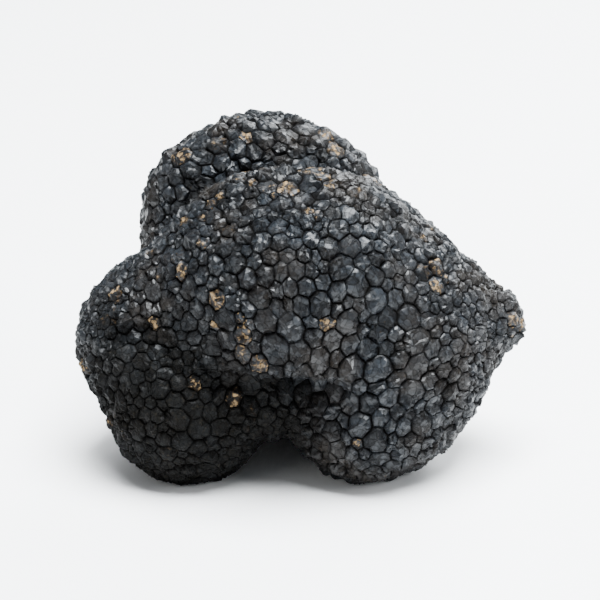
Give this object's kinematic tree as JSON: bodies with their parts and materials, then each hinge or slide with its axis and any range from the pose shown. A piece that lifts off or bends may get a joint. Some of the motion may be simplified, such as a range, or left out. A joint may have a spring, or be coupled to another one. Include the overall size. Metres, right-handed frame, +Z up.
{
  "type": "black truffle",
  "caption": "Whole black truffle: a lobed and folded fruit body with a rind of low polygonal warts, resting on three low flat spots.",
  "frame": {"origin": "middle of the footprint's bounding box, on the surface it rests on", "axes": "+X towards the pointed end, -Y is the front with the brow over two feet, +Z up"},
  "size_m": [0.0522, 0.041, 0.0372],
  "materials": {
    "peridium": "dull to satin blue-black rind of many-sided warts, darker in the grooves, with worn tan tips here and there"
  },
  "bodies": {
    "root": {"truffle": "peridium"}
  },
  "joints": []
}
